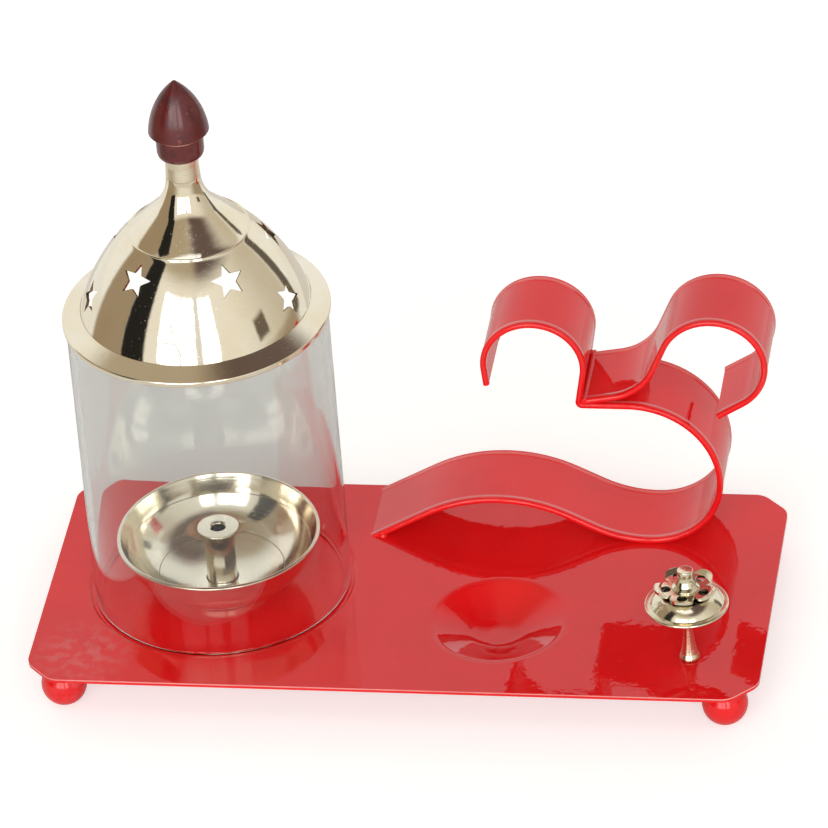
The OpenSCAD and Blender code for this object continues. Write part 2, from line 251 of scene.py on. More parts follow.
def bent_line(start, steps, turn=3.0):
    """Places (across, up, heading) along runs (length, 0) and bends (radius, degrees)."""
    across, up, heading = start
    places = [start]
    for size, bend in steps:
        now = math.radians(heading)
        if bend == 0:
            across += size * math.cos(now)
            up += size * math.sin(now)
            places.append((across, up, heading))
            continue
        side = 1 if bend > 0 else -1
        middle = (across - side * size * math.sin(now), up + side * size * math.cos(now))
        count = max(3, math.ceil(abs(bend) / turn))
        for k in range(1, count + 1):
            later = math.radians(heading + bend * k / count)
            places.append((
                middle[0] + side * size * math.sin(later),
                middle[1] - side * size * math.cos(later),
                heading + bend * k / count,
            ))
        across, up, heading = places[-1]
    return places


def beside(places, offset):
    """The same line moved to its left by an offset."""
    line = []
    for across, up, heading in places:
        now = math.radians(heading)
        line.append((across - offset * math.sin(now), up + offset * math.cos(now)))
    return line


def scored(line, radii, depth):
    """Cuts fine turned lines into a bowl's inner profile, near the given radii."""
    points = []
    for before, after in zip(line, line[1:]):
        points.append(before)
        if any(before[0] < radius <= after[0] for radius in radii):
            step = Vector(after) - Vector(before)
            out = Vector((step.y, -step.x)).normalized() * depth
            spot = Vector(before) + step * 0.5
            points += [tuple(spot - step * 0.3), tuple(spot + out), tuple(spot + step * 0.3)]
    return points + line[-1:]


def turned(name, profile, axis, steps=144):
    """A piece turned from a profile of (radius, height) about an upright axis."""
    places = [(axis[0] + radius, axis[1], height) for radius, height in profile]
    piece = first_point(name, places[0])
    draw_line(places)
    choose_all()
    bpy.ops.mesh.spin(steps=steps, angle=math.tau, center=metres(*axis, 0), axis=(0, 0, 1))
    join_points()
    face_outward()
    return piece


# Shader nodes
def add_node(tree, kind, values=None, **settings):
    """A new node with its settings made and its inputs set or linked."""
    node = tree.nodes.new(kind)
    for key, value in settings.items():
        setattr(node, key, value)
    for key, value in (values or {}).items():
        if isinstance(value, bpy.types.NodeSocket):
            tree.links.new(value, node.inputs[key])
        else:
            node.inputs[key].default_value = value
    return node


def maths(tree, operation, first, second=0.0):
    return add_node(tree, "ShaderNodeMath", {0: first, 1: second}, operation=operation).outputs[0]


def times(tree, first, second):
    return maths(tree, "MULTIPLY", first, second)


def plus(tree, first, second):
    return maths(tree, "ADD", first, second)


def spread(tree, value, low, high, start=0.0, end=1.0):
    """Carries a value smoothly from one range to another, held at its ends."""
    values = {0: value, 1: low, 2: high, 3: start, 4: end}
    return add_node(tree, "ShaderNodeMapRange", values, interpolation_type="SMOOTHSTEP").outputs[0]


def blend_colours(tree, amount, first, second):
    values = {0: amount, 6: first, 7: second}
    return add_node(tree, "ShaderNodeMix", values, data_type="RGBA").outputs[2]


def part_of(tree, place, axis):
    """One part of a place: 0 across, 1 back and 2 up."""
    return add_node(tree, "ShaderNodeSeparateXYZ", {0: place}).outputs[axis]


def noise(tree, place, scale, detail=2.0):
    values = {"Vector": place, "Scale": scale, "Detail": detail}
    return add_node(tree, "ShaderNodeTexNoise", values).outputs[0]


def new_group(name, inputs, outputs):
    """An empty node group with named inputs (name, kind) and value outputs."""
    tree = bpy.data.node_groups.new(name, "ShaderNodeTree")
    for label, kind in inputs:
        tree.interface.new_socket(label, in_out="INPUT", socket_type="NodeSocket" + kind)
    for label in outputs:
        tree.interface.new_socket(label, in_out="OUTPUT", socket_type="NodeSocketFloat")
    return tree, tree.nodes.new("NodeGroupInput").outputs, tree.nodes.new("NodeGroupOutput").inputs


def place_group(tree, group, **values):
    """Places a node group in a material, with its inputs set or linked."""
    node = add_node(tree, "ShaderNodeGroup", node_tree=group)
    for key, value in values.items():
        socket = node.inputs[key.replace("_", " ").capitalize()]
        if isinstance(value, bpy.types.NodeSocket):
            tree.links.new(value, socket)
        else:
            socket.default_value = value
    return node.outputs


def make_skin_ripple():
    """Fine ripple of a sprayed or polished skin, over a slow wave of the sheet under it."""
    inputs = [("Place", "Vector"), ("Fine", "Float"), ("Slow", "Float")]
    tree, given, result = new_group("skin_ripple", inputs, ["Height"])
    fine = noise(tree, given["Place"], given["Fine"], 1.5)
    slow = noise(tree, given["Place"], given["Slow"], 0.0)
    tree.links.new(plus(tree, fine, times(tree, slow, 2.0)), result["Height"])
    return tree


def make_turning_lines():
    """Rings left by the lathe about an upright axis."""
    inputs = [("Place", "Vector"), ("Axis", "Vector"), ("Scale", "Float")]
    tree, given, result = new_group("turning_lines", inputs, ["Lines"])
    ends = {0: given["Place"], 1: given["Axis"]}
    offset = add_node(tree, "ShaderNodeVectorMath", ends, operation="SUBTRACT")
    parts = add_node(tree, "ShaderNodeSeparateXYZ", {0: offset.outputs[0]}).outputs
    flat = add_node(tree, "ShaderNodeCombineXYZ", {0: parts[0], 1: parts[1]}).outputs[0]
    radius = add_node(tree, "ShaderNodeVectorMath", {0: flat}, operation="LENGTH").outputs["Value"]
    ring = add_node(tree, "ShaderNodeCombineXYZ", {0: radius, 2: parts[2]}).outputs[0]
    tree.links.new(noise(tree, ring, given["Scale"], 3.0), result["Lines"])
    return tree


def make_specks():
    """Scattered small round specks and pits."""
    inputs = [("Place", "Vector"), ("Scale", "Float"), ("Share", "Float")]
    tree, given, result = new_group("specks", inputs, ["Mask"])
    values = {"Vector": given["Place"], "Scale": given["Scale"]}
    cells = add_node(tree, "ShaderNodeTexVoronoi", values).outputs
    chance = add_node(tree, "ShaderNodeSeparateColor", {0: cells["Color"]}).outputs[0]
    chosen = maths(tree, "LESS_THAN", chance, given["Share"])
    dot = spread(tree, cells["Distance"], 0.12, 0.3, 1.0, 0.0)
    tree.links.new(times(tree, chosen, dot), result["Mask"])
    return tree


def make_patches():
    """Soft patches with ragged edges, for tarnish, smudges and uneven colour."""
    tree, given, result = new_group("patches", [("Place", "Vector"), ("Scale", "Float")], ["Mask"])
    cloud = noise(tree, given["Place"], given["Scale"], 5.0)
    tree.links.new(spread(tree, cloud, 0.42, 0.68), result["Mask"])
    return tree


def make_corner_shade_and_grime():
    """Darkening where surfaces meet: painted shade, with dirt and polish left there."""
    tree, given, result = new_group("corner_shade_and_grime", [("Reach", "Float")], ["Mask"])
    open_sky = add_node(tree, "ShaderNodeAmbientOcclusion", {"Distance": given["Reach"]}, samples=8)
    tree.links.new(spread(tree, open_sky.outputs["AO"], 0.15, 0.75, 1.0, 0.0), result["Mask"])
    return tree


skin_ripple = make_skin_ripple()
turning_lines = make_turning_lines()
specks = make_specks()
patches = make_patches()
corner_shade_and_grime = make_corner_shade_and_grime()


# Materials
def new_material(name):
    material = bpy.data.materials.new(name)
    material.use_nodes = True
    tree = material.node_tree
    tree.nodes.clear()
    output = tree.nodes.new("ShaderNodeOutputMaterial")
    surface = tree.nodes.new("ShaderNodeBsdfPrincipled")
    tree.links.new(surface.outputs["BSDF"], output.inputs["Surface"])
    place = add_node(tree, "ShaderNodeTexCoord").outputs["Object"]
    return material, tree, surface.inputs, place


def distance(tree, place, middle):
    """How far a place is from a point given in millimetres."""
    ends = {0: place, 1: Vector(middle) * MM}
    return add_node(tree, "ShaderNodeVectorMath", ends, operation="DISTANCE").outputs["Value"]


def raise_surface(tree, height, reach, under=None):
    """A bump of a height, up to a reach in millimetres, over another bump if there is one."""
    values = {"Height": height, "Distance": reach * MM, "Strength": 1.0}
    if under:
        values["Normal"] = under
    return add_node(tree, "ShaderNodeBump", values).outputs[0]


def tray_edge_highlight(tree, place):
    """Band of painted highlight on the rolled upper edge of the tray, clear of the seat and the
    dish.
    """
    height = part_of(tree, place, 2)
    depth = maths(tree, "SUBTRACT", TRAY_TOP * MM, height)
    start = spread(tree, depth, 0.02 * MM, 0.1 * MM)
    band = times(tree, start, spread(tree, depth, 0.4 * MM, 0.55 * MM, 1.0, 0.0))
    for middle, radius in ((LAMP, 47), (DISH, 32)):
        away = distance(tree, place, middle + (TRAY_TOP,))
        band = times(tree, band, maths(tree, "GREATER_THAN", away, radius * MM))
    return band


def strip_edge_highlight(tree, place):
    """Band of painted highlight on the inner side of the swollen edges of a strip."""
    across = part_of(tree, place, 1)
    across = maths(tree, "SUBTRACT", across, (STRIP_BACK - STRIP_WIDTH / 2) * MM)
    inset = maths(tree, "SUBTRACT", STRIP_WIDTH / 2 * MM, maths(tree, "ABSOLUTE", across))
    rise = spread(tree, inset, 1.2 * MM, 1.8 * MM)
    return times(tree, rise, spread(tree, inset, 2.2 * MM, 3.0 * MM, 0.5, 0.0))


# Middle of the pale, hazy spot at the tray's front left corner
PALE_HAZY_CORNER = (-103, -42, TRAY_TOP)


def make_enamel(name, edge_highlight=None):
    """Glossy red enamel, with a pale highlight painted along a border, where the enamel also runs
    thin.
    """
    material, tree, surface, place = new_material(name)
    ripple = place_group(tree, skin_ripple, place=place, fine=420.0, slow=45.0)["Height"]
    uneven = place_group(tree, patches, place=place, scale=38.0)["Mask"]
    nibs = place_group(tree, specks, place=place, scale=260.0, share=0.012)["Mask"]
    dust = place_group(tree, specks, place=place, scale=620.0, share=0.03)["Mask"]
    red = blend_colours(tree, uneven, (0.855, 0.011, 0.013, 1), (0.79, 0.0095, 0.0115, 1))
    red = blend_colours(tree, times(tree, dust, 0.12), red, (0.7, 0.25, 0.22, 1))
    away = distance(tree, place, PALE_HAZY_CORNER)
    pale_patch = place_group(tree, patches, place=place, scale=300.0)["Mask"]
    haze = times(tree, pale_patch, spread(tree, away, 5 * MM, 21 * MM, 1.0, 0.0))
    red = blend_colours(tree, times(tree, haze, 0.2), red, (0.70, 0.44, 0.43, 1))
    # A pale pink band painted as the highlight along the edge, where the enamel also runs thin.
    if edge_highlight:
        patchy = spread(tree, uneven, 0.0, 1.0, 0.9, 0.55)
        highlight_band = times(tree, edge_highlight(tree, place), patchy)
        red = blend_colours(tree, highlight_band, red, (0.88, 0.40, 0.38, 1))
    tree.links.new(red, surface["Base Color"])
    gloss = spread(tree, uneven, 0.0, 1.0, 0.018, 0.04)
    gloss = plus(tree, gloss, times(tree, dust, 0.2))
    gloss = plus(tree, gloss, times(tree, haze, 0.12))
    tree.links.new(gloss, surface["Roughness"])
    skin = raise_surface(tree, ripple, 0.03)
    tree.links.new(raise_surface(tree, nibs, 0.02, skin), surface["Normal"])
    surface["IOR"].default_value = 1.5
    return material


def make_brass(name, axis, bright, warm, gloss, shade_and_grime_share, casting, turning, shade_radius=0.0):
    """Turned brass: lathe rings, pits, tarnish, painted shade and dirt in the corners, and a
    black disc of painted shade about the axis.

    Gloss is the roughness, and the number after it the share of painted shade and dirt in corners.
    Casting and turning are the heights of the skin and the rings, and the last number is the
    radius of the black painted shade, in millimetres.
    heights of the skin and the rings, and soot is the radius of the black part, in millimetres.
    """
    material, tree, surface, place = new_material(name)
    middle = metres(*axis, 0)
    rings = place_group(tree, turning_lines, place=place, axis=middle, scale=2600.0)["Lines"]
    broad = place_group(tree, turning_lines, place=place, axis=middle, scale=420.0)["Lines"]
    ripple = place_group(tree, skin_ripple, place=place, fine=300.0, slow=70.0)["Height"]
    tarnish = place_group(tree, patches, place=place, scale=60.0)["Mask"]
    pits = place_group(tree, specks, place=place, scale=1500.0, share=0.09)["Mask"]
    corners = place_group(tree, corner_shade_and_grime, reach=2.5 * MM)["Mask"]
    colour = blend_colours(tree, times(tree, tarnish, 0.55), bright, warm)
    # Painted shade, with dirt, darkens the corners where surfaces meet.
    shade_and_grime = times(tree, corners, shade_and_grime_share)
    colour = blend_colours(tree, shade_and_grime, colour, (0.16, 0.11, 0.055, 1))
    colour = blend_colours(tree, times(tree, pits, 0.5), colour, (0.42, 0.33, 0.2, 1))
    # A black disc of painted shade about the axis, for the shade that the flower casts on the
    # saucer.
    if shade_radius:
        ends = {0: place, 1: (1, 1, 0)}
        plan = add_node(tree, "ShaderNodeVectorMath", ends, operation="MULTIPLY").outputs[0]
        away = distance(tree, plan, axis + (0,))
        painted_dark_shade = spread(tree, away, (shade_radius - 1.0) * MM, shade_radius * MM, 1.0, 0.0)
        painted_dark_shade = times(tree, painted_dark_shade, spread(tree, tarnish, 0.0, 1.0, 0.97, 0.85))
        colour = blend_colours(tree, painted_dark_shade, colour, (0.018, 0.014, 0.011, 1))
    tree.links.new(colour, surface["Base Color"])
    dull = spread(tree, rings, 0.3, 0.7, gloss * 0.7, gloss * 1.3)
    dull = plus(tree, dull, times(tree, pits, 0.25))
    dull = plus(tree, dull, times(tree, corners, 0.2))
    tree.links.new(dull, surface["Roughness"])
    surface["Metallic"].default_value = 1.0
    skin = raise_surface(tree, ripple, casting)
    lathe = plus(tree, rings, times(tree, broad, 2.0))
    lathe = raise_surface(tree, lathe, turning, skin)
    tree.links.new(raise_surface(tree, pits, -0.006, lathe), surface["Normal"])
    return material


def make_clear_glass():
    """Glass with faint smudges and specks, which lets soft light straight through."""
    material, tree, surface, place = new_material("clear_glass")
    ripple = place_group(tree, skin_ripple, place=place, fine=60.0, slow=22.0)["Height"]
    smudge = place_group(tree, patches, place=place, scale=26.0)["Mask"]
    specks_seen = place_group(tree, specks, place=place, scale=160.0, share=0.02)["Mask"]
    film = times(tree, smudge, 0.012)
    film = plus(tree, film, times(tree, specks_seen, 0.2))
    tree.links.new(film, surface["Roughness"])
    tint = blend_colours(tree, smudge, (0.905, 0.92, 0.91, 1), (0.88, 0.90, 0.885, 1))
    tree.links.new(tint, surface["Base Color"])
    tree.links.new(raise_surface(tree, ripple, 0.03), surface["Normal"])
    surface["IOR"].default_value = 1.47
    surface["Transmission Weight"].default_value = 1.0
    rays = add_node(tree, "ShaderNodeLightPath").outputs
    soft_light = maths(tree, "MAXIMUM", rays["Is Shadow Ray"], rays["Is Diffuse Ray"])
    wall = tree.nodes["Principled BSDF"].outputs[0]
    clear = add_node(tree, "ShaderNodeBsdfTransparent").outputs[0]
    both = add_node(tree, "ShaderNodeMixShader", {0: soft_light, 1: wall, 2: clear}).outputs[0]
    tree.links.new(both, tree.nodes["Material Output"].inputs["Surface"])
    return material


def make_maroon(seam):
    """Satin moulding, with the pale seam where the collar meets the bud."""
    material, tree, surface, place = new_material("maroon_moulding")
    grain = place_group(tree, skin_ripple, place=place, fine=1300.0, slow=160.0)["Height"]
    mottle = place_group(tree, patches, place=place, scale=170.0)["Mask"]
    dust = place_group(tree, specks, place=place, scale=700.0, share=0.06)["Mask"]
    height = part_of(tree, place, 2)
    from_seam = maths(tree, "ABSOLUTE", maths(tree, "SUBTRACT", height, seam * MM))
    line = spread(tree, from_seam, 0.22 * MM, 0.55 * MM, 1.0, 0.0)
    lumps = place_group(tree, specks, place=place, scale=310.0, share=0.16)["Mask"]
    colour = blend_colours(tree, mottle, (0.118, 0.017, 0.017, 1), (0.078, 0.010, 0.011, 1))
    colour = blend_colours(tree, times(tree, dust, 0.5), colour, (0.30, 0.11, 0.09, 1))
    colour = blend_colours(tree, times(tree, lumps, 0.35), colour, (0.34, 0.07, 0.06, 1))
    colour = blend_colours(tree, line, colour, (0.72, 0.32, 0.24, 1))
    tree.links.new(colour, surface["Base Color"])
    tree.links.new(spread(tree, mottle, 0.0, 1.0, 0.19, 0.3), surface["Roughness"])
    skin = raise_surface(tree, grain, 0.014)
    tree.links.new(raise_surface(tree, lumps, 0.09, skin), surface["Normal"])
    return material


def make_steel():
    """Plain stained steel of the screws and washers."""
    material, tree, surface, place = new_material("plain_steel")
    grain = place_group(tree, skin_ripple, place=place, fine=2200.0, slow=300.0)["Height"]
    stain = place_group(tree, patches, place=place, scale=400.0)["Mask"]
    colour = blend_colours(tree, stain, (0.58, 0.58, 0.59, 1), (0.42, 0.40, 0.38, 1))
    tree.links.new(colour, surface["Base Color"])
    tree.links.new(spread(tree, stain, 0.0, 1.0, 0.24, 0.42), surface["Roughness"])
    tree.links.new(raise_surface(tree, grain, 0.004), surface["Normal"])
    surface["Metallic"].default_value = 1.0
    return material


# Lid levels
BRIM_BEND = DOME_RADIUS + 0.4
BRIM_OUTER = GLASS_RADIUS + 1.0
BRIM_SLOPE = BRIM_DROP / (BRIM_OUTER - BRIM_BEND)
BRIM_TOP = GLASS_TOP + 0.9 + (GLASS_RADIUS - BRIM_BEND) * BRIM_SLOPE
BEAD_LEVEL = BRIM_TOP + DOME_RISE
CHORD = math.hypot(DOME_RISE, DOME_RADIUS - BEAD_RADIUS)
CHORD_SLOPE = math.degrees(math.atan2(DOME_RISE, DOME_RADIUS - BEAD_RADIUS))
HALF_TURN = math.degrees(math.asin(CHORD / (2 * DOME_CURVE)))
BEAD_SLOPE = CHORD_SLOPE - HALF_TURN
FOOT_SLOPE = CHORD_SLOPE + HALF_TURN
DOME_MIDDLE = (
    BEAD_RADIUS - DOME_CURVE * math.sin(math.radians(BEAD_SLOPE)),
    BEAD_LEVEL - DOME_CURVE * math.cos(math.radians(BEAD_SLOPE)),
)
FUNNEL_START = NECK_RADIUS + FUNNEL_CURVE * (1 - math.sin(math.radians(BEAD_SLOPE)))
NECK_LEVEL = (
    BEAD_LEVEL + (BEAD_RADIUS - FUNNEL_START) * math.tan(math.radians(BEAD_SLOPE))
    + FUNNEL_CURVE * math.cos(math.radians(BEAD_SLOPE))
)
KNOB_LEVEL = NECK_LEVEL + FERRULE_HEIGHT

# Finishes
enamel = make_enamel("red_enamel")
# The tray and the strips have a pale highlight painted along their edges.
tray_enamel = make_enamel("tray_enamel", tray_edge_highlight)
strip_enamel = make_enamel("strip_enamel", strip_edge_highlight)
pale = (0.87, 0.80, 0.645, 1)
warm = (0.82, 0.71, 0.50, 1)
dark = (0.42, 0.33, 0.2, 1)
brown = (0.3, 0.22, 0.12, 1)
silvery = (0.88, 0.815, 0.68, 1)
straw = (0.80, 0.72, 0.57, 1)
olive = (0.82, 0.75, 0.57, 1)
umber = (0.68, 0.57, 0.37, 1)
# The sixth number of each brass is its share of painted shade and dirt in the corners.
brass = make_brass("polished_brass", LAMP, pale, warm, 0.06, 0.45, 0.02, 0.0025)
ferrule_brass = make_brass("ferrule_brass", LAMP, pale, warm, 0.36, 0.3, 0.02, 0.006)
brim_brass = make_brass("brim_brass", LAMP, pale, warm, 0.13, 0.45, 0.02, 0.004)
cut_brass = make_brass("cut_brass", LAMP, dark, brown, 0.4, 0.5, 0.02, 0.004)
bowl_brass = make_brass("bowl_brass", LAMP, silvery, straw, 0.13, 0.5, 0.02, 0.011)
cast = make_brass("cast_brass", INCENSE, olive, umber, 0.11, 0.85, 0.04, 0.005)
# Brass with a black disc of painted shade, for the saucer under the flower.
shade_painted_cast = make_brass("shade_painted_brass", INCENSE, olive, umber, 0.13, 0.85, 0.04, 0.005, shade_radius=8.6)
glass = make_clear_glass()
maroon = make_maroon(KNOB_LEVEL + COLLAR_HEIGHT - 0.45)
steel = make_steel()


def dress(piece, material):
    piece.data.materials.clear()
    piece.data.materials.append(material)


def place_piece(piece, body, nodes, material, angle=35.0):
    """Finishes a piece and hands it to its body, in place of its nodes.

    A piece that has its finishes already is given no material.
    """
    finish_shape(piece, angle)
    if material:
        dress(piece, material)
    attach(piece, body)
    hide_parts(*nodes)


# Tray
def select_ring(piece, middle, radius):
    """Selects the points of a ring, by their distance from its middle."""
    def on_ring(vertex):
        gap = math.hypot(vertex.co.x - middle[0] * MM, vertex.co.y - middle[1] * MM) - radius * MM
        return abs(gap) < 0.01 * MM

    choose_points(piece, on_ring)


def press_rings(middle, line):
    """Presses the selected ring through a line of (radius, height) and closes its middle."""
    centre = metres(*middle, 0)
    for before, after in zip(line, line[1:]):
        scale = after[0] / before[0]
        drop = (after[1] - before[1]) * MM
        bpy.ops.mesh.extrude_edges_move(TRANSFORM_OT_translate={"value": (0, 0, drop)})
        bpy.ops.transform.resize(value=(scale, scale, 1), center_override=centre)
    bpy.ops.mesh.edge_face_add()
    bpy.ops.mesh.inset(thickness=0.3 * line[-1][0] * MM)
    bpy.ops.mesh.poke()


def make_tray():
    """A flat sheet with clipped corners, pressed into a seat and a dish, then given thickness."""
    clear_selection()
    bpy.ops.mesh.primitive_plane_add(size=1, location=(0, 0, 0))
    piece = bpy.context.object
    piece.name = "tray"
    start_editing()
    bpy.ops.mesh.select_mode(type="VERT")
    choose_all()
    bpy.ops.transform.resize(value=(TRAY_LENGTH * MM, TRAY_WIDTH * MM, 1))
    bpy.ops.transform.translate(value=(0, 0, TRAY_TOP * MM))
    bpy.ops.mesh.bevel(offset=CORNER_CLIP * MM, affect="VERTICES", segments=1)
    choose_all()
    corner = CORNER_ROUND * math.tan(math.radians(22.5))
    bpy.ops.mesh.bevel(offset=corner * MM, affect="VERTICES", segments=8)
    bpy.ops.mesh.delete(type="ONLY_FACE")
    dish = bent_line((0, 0, 0), DISH_STEPS, 2.0)
    dish_radius, dish_depth = dish[-1][:2]
    for middle, radius in ((LAMP, SEAT_RIM), (DISH, dish_radius)):
        bpy.ops.mesh.primitive_circle_add(
            vertices=144, radius=radius * MM, location=metres(*middle, TRAY_TOP)
        )
    choose_all()
    bpy.ops.mesh.fill(use_beauty=True)
    seat_line = rounded([
        (SEAT_RIM, TRAY_TOP), (44.5, TRAY_TOP, 0.6), (43.5, SEAT, 0.6), (13.4, SEAT, 0.5),
        (12.6, SEAT + 0.7, 0.4), (6.0, SEAT + 0.7)
    ])
    select_ring(piece, LAMP, SEAT_RIM)
    press_rings(LAMP, seat_line)
    dish_line = [(across, TRAY_TOP - dish_depth + up) for across, up, heading in dish[:0:-1]]
    select_ring(piece, DISH, dish_radius)
    press_rings(DISH, dish_line)
    face_outward()
    if sum(face.normal.z * face.area for face in piece.data.polygons) < 0:
        piece.data.flip_normals()
    add_modifier(piece, "SOLIDIFY", thickness=TRAY_SHEET * MM, offset=-1.0)
    add_modifier(
        piece, "BEVEL", width=0.6 * MM, segments=4, limit_method="ANGLE",
        angle_limit=math.radians(60)
    )
    place_piece(piece, "stand", ["tray_plate"], tray_enamel)


def make_feet():
    """One painted ball with its weld collar, copied to the four corners."""
    weld_start = 12.9
    middle = (0, FOOT_RADIUS - FOOT_FLAT)
    low = math.degrees(math.asin(-middle[1] / FOOT_RADIUS))
    high = math.degrees(math.asin((weld_start - middle[1]) / FOOT_RADIUS))
    ball = arc(middle, FOOT_RADIUS, low, high, 40)
    out = ball[-1][0]
    weld = [(out + 0.15, 13.5), (out + 0.6, 14.0), (out + 1.3, TRAY_UNDER)]
    pattern = turned("ball_pattern", [(0, 0)] + ball + weld + [(0, TRAY_UNDER)], (0, 0), 72)
    for end, side in (("front", -1), ("rear", 1)):
        for hand, along in (("left", -1), ("right", 1)):
            ball_foot = copy_of(pattern)
            ball_foot.name = "ball_%s_%s" % (end, hand)
            ball_foot.location = metres(
                along * (TRAY_LENGTH / 2 - FOOT_END_INSET),
                side * (TRAY_WIDTH / 2 - FOOT_SIDE_INSET), 0
            )
            settle()
            place_piece(ball_foot, "stand", ["foot_%s_%s" % (end, hand)], enamel)
    bpy.data.objects.remove(pattern)


# Om strips
def make_strip(name, start, steps):
    """A flat bar with swollen round edges, bent through straight runs and bends."""
    half = STRIP_SHEET / 2
    full = half + 0.24
    width = STRIP_WIDTH
    under = [
        (0, -full, 0.95), (1.9, -full, 1.5), (3.0, -half, 1.5),
        (width - 3.0, -half, 1.5), (width - 1.9, -full, 1.5), (width, -full, 0.95)
    ]
    over = [(across, -out, radius) for across, out, radius in under[::-1]]
    section = rounded(under + over, closed=True)
    x, z, heading = start
    turn = math.radians(heading)
    places = [
        (x - out * math.sin(turn), STRIP_BACK - across, z + out * math.cos(turn))
        for across, out in section
    ]
    piece = first_point(name, places[0])
    draw_line(places)
    join_points()
    choose_all()
    bpy.ops.mesh.edge_face_add()
    bpy.ops.mesh.select_mode(type="FACE")
    choose_all()
    for size, bend in steps:
        if bend == 0:
            move = metres(size * math.cos(turn), 0, size * math.sin(turn))
            bpy.ops.mesh.extrude_region_move(TRANSFORM_OT_translate={"value": move})
            x += size * math.cos(turn)
            z += size * math.sin(turn)
            continue
        side = 1 if bend > 0 else -1
        middle = (x - side * size * math.sin(turn), z + side * size * math.cos(turn))
        bpy.ops.mesh.spin(
            steps=max(3, math.ceil(abs(bend) / 3)), angle=math.radians(abs(bend)),
            center=metres(middle[0], 0, middle[1]), axis=(0, side, 0)
        )
        turn += math.radians(bend)
        x = middle[0] + side * size * math.sin(turn)
        z = middle[1] - side * size * math.cos(turn)
    join_points()
    face_outward()
    return piece


def make_om():
    """The two strips of the Om, the main one cut level where it meets the tray."""
    main_steps = [
        (23.3, 0), (50, -56.5), (9.8, 0), (40, 27.5), (24.3, 90), (29.3, 90), (14.7, 0),
        (1.2, -100), (10.7, 0), (16.4, 195), (6, 0)
    ]
    tail_steps = [(8.3, 0), (18.7, 56), (10.3, 0), (17.1, -214), (9.4, 0)]
    main = make_strip("om_main", (-18.6, TRAY_TOP - 1.84, 29), main_steps)
    pick(main)
    start_editing()
    choose_all()
    bpy.ops.mesh.bisect(
        plane_co=metres(0, 0, TRAY_TOP), plane_no=(0, 0, 1), clear_inner=True, use_fill=True
    )
    done_editing()
    place_piece(main, "stand", ["om_main_strip"], strip_enamel)
    tail = make_strip("om_tail", (58.1, TRAY_TOP + 56.35, 10), tail_steps)
    place_piece(tail, "stand", ["om_tail_strip"], strip_enamel)


# Lamp
def make_glass():
    inner = GLASS_RADIUS - GLASS_WALL
    low = SEAT + 0.05
    profile = rounded([
        (inner, low, 0.8), (GLASS_RADIUS, low, 0.8),
        (GLASS_RADIUS, GLASS_TOP, 0.8), (inner, GLASS_TOP, 0.8)
    ], closed=True)
    piece = turned("chimney", profile, LAMP, 192)
    place_piece(piece, "chimney", ["glass_chimney"], glass)


def lid_line(inset):
    """The dome and funnel from foot to neck, moved in by an inset."""
    dome = arc(DOME_MIDDLE, DOME_CURVE - inset, 90 - FOOT_SLOPE, 90 - BEAD_SLOPE, 48)
    funnel_middle = (NECK_RADIUS + FUNNEL_CURVE, NECK_LEVEL)
    funnel = arc(funnel_middle, FUNNEL_CURVE + inset, 270 - BEAD_SLOPE, 180, 24)
    run = []
    for k in range(1, 10):
        part = k / 10
        run.append((
            dome[-1][0] + (funnel[0][0] - dome[-1][0]) * part,
            dome[-1][1] + (funnel[0][1] - dome[-1][1]) * part,
        ))
    return dome + run + funnel


def star_punch():
    """One five-pointed punch about the origin, with a point along X."""
    clear_selection()
    bpy.ops.mesh.primitive_circle_add(
        vertices=10, radius=STAR_RADIUS * MM, fill_type="NGON", location=(0, 0, 0)
    )
    punch = bpy.context.object
    first = punch.data.vertices[0].co.copy()
    waist = 0.46
    start_editing()
    choose_points(punch, lambda vertex: vertex.index % 2 == 1)
    bpy.ops.transform.resize(value=(waist, waist, 1), center_override=(0, 0, 0))
    choose_all()
    bpy.ops.mesh.bevel(offset=0.22 * MM, affect="VERTICES", segments=2)
    choose_all()
    bpy.ops.transform.translate(value=(0, 0, -4 * MM))
    bpy.ops.mesh.extrude_region_move(TRANSFORM_OT_translate={"value": (0, 0, 8 * MM)})
    face_outward()
    punch.matrix_world = Matrix.Rotation(-math.atan2(first.y, first.x), 4, "Z")
    return settle()


def star_cutter():
    """Ten star punches, set square to the dome in two staggered rows."""
    pattern = star_punch()
    punches = []
    rows = ((BEAD_LEVEL - 6.8, 180.0), (BRIM_TOP + 8.2, 0.0))
    for row, (level, tip) in enumerate(rows):
        slope = math.acos((level - DOME_MIDDLE[1]) / DOME_CURVE)
        radius = DOME_MIDDLE[0] + DOME_CURVE * math.sin(slope)
        for i in range(5):
            bearing = math.radians(STAR_BEARING + 72 * (i + 0.5 * row))
            punch = copy_of(pattern)
            punch.matrix_world = (
                Matrix.Translation(Vector((LAMP[0], LAMP[1], 0)) * MM)
                @ Matrix.Rotation(bearing, 4, "Z")
                @ Matrix.Translation(Vector((radius, 0, level)) * MM)
                @ Matrix.Rotation(slope, 4, "Y")
                @ Matrix.Rotation(math.radians(tip), 4, "Z")
            )
            punches.append(settle())
    bpy.data.objects.remove(pattern)
    clear_selection()
    for punch in punches:
        punch.select_set(True)
    bpy.context.view_layer.objects.active = punches[0]
    bpy.ops.object.join()
    return bpy.context.object


def make_brim():
    """The sloping brim with its turned-down lip."""
    rim = BRIM_TOP - BRIM_DROP
    under = BRIM_TOP - 0.8
    lip = BRIM_OUTER - 0.7
    brim = turned("lid_brim_sheet", rounded([
        (DOME_RADIUS - 1.6, under, 0.2), (DOME_RADIUS - 1.6, BRIM_TOP, 0.2),
        (BRIM_BEND, BRIM_TOP, 0.4), (BRIM_OUTER, rim, 0.6), (BRIM_OUTER, rim - 1.6, 0.3),
        (lip, rim - 1.6, 0.3), (lip, under - (lip - BRIM_BEND) * BRIM_SLOPE, 0.2),
        (BRIM_BEND, under, 0.4)
    ], closed=True), LAMP, 192)
    place_piece(brim, "lid", ["lid_brim"], brim_brass)


